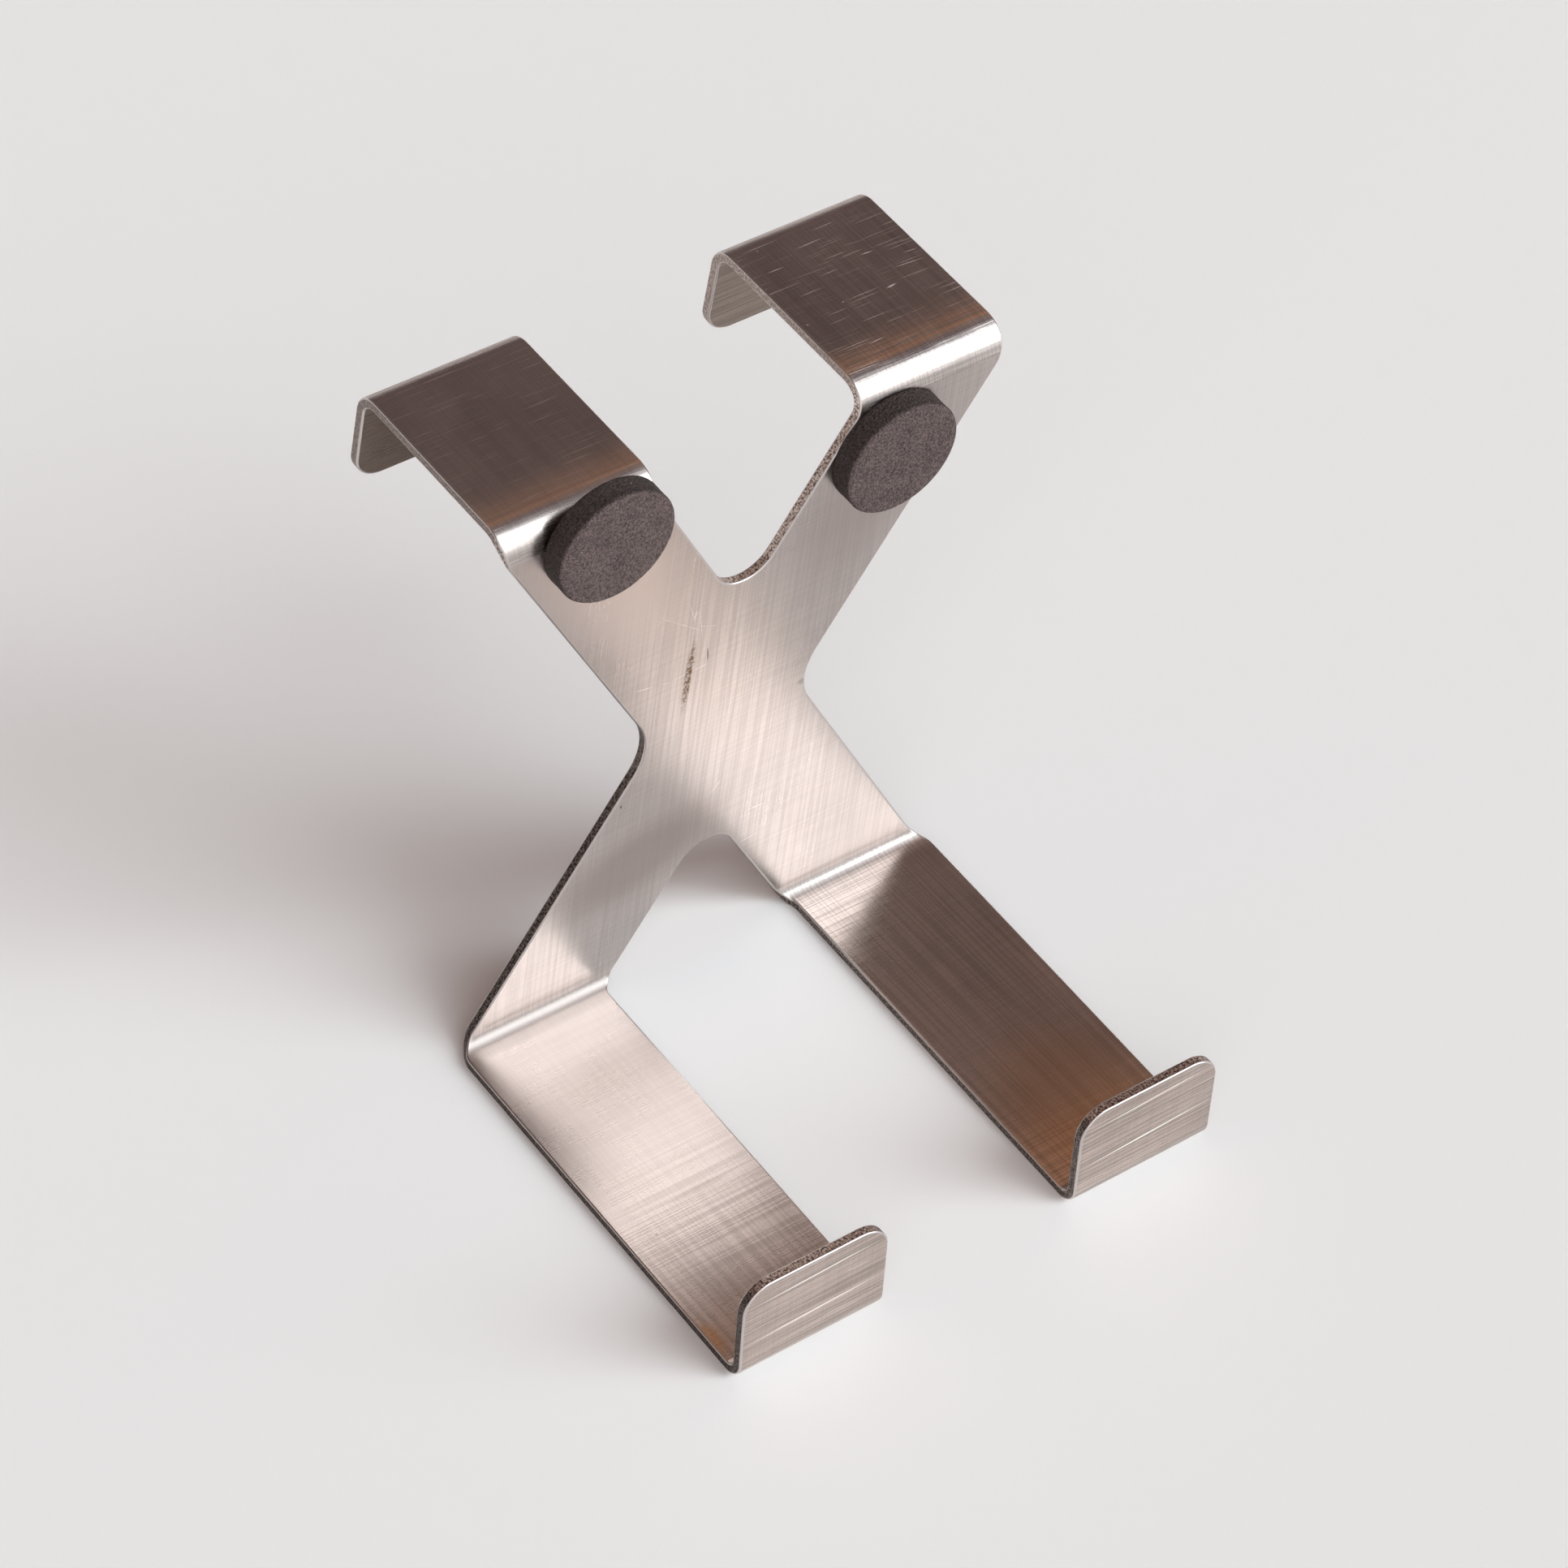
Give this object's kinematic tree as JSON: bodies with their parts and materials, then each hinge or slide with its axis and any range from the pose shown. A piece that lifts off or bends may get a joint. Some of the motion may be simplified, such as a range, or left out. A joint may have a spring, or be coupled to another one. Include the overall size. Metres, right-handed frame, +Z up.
{
  "type": "double hook",
  "caption": "Reversible over-door hook stamped from steel sheet: crossed arms with long hooks facing one way, short hooks the other, and round foam pads.",
  "frame": {"origin": "under the middle of the outer box, on the surface the long hooks stand on", "axes": "+Z up as pictured, with the long hooks below and the short hooks above; +Y from the long hooks towards the short hooks; +X from the left arms to the right arms as seen from the long hooks' side"},
  "size_m": [0.0506, 0.0634, 0.0647],
  "materials": {
    "steel": "brushed",
    "foam": "matte open-cell foam"
  },
  "bodies": {
    "root": {"double_hook": "steel", "left_pad": "foam", "right_pad": "foam"}
  },
  "joints": []
}
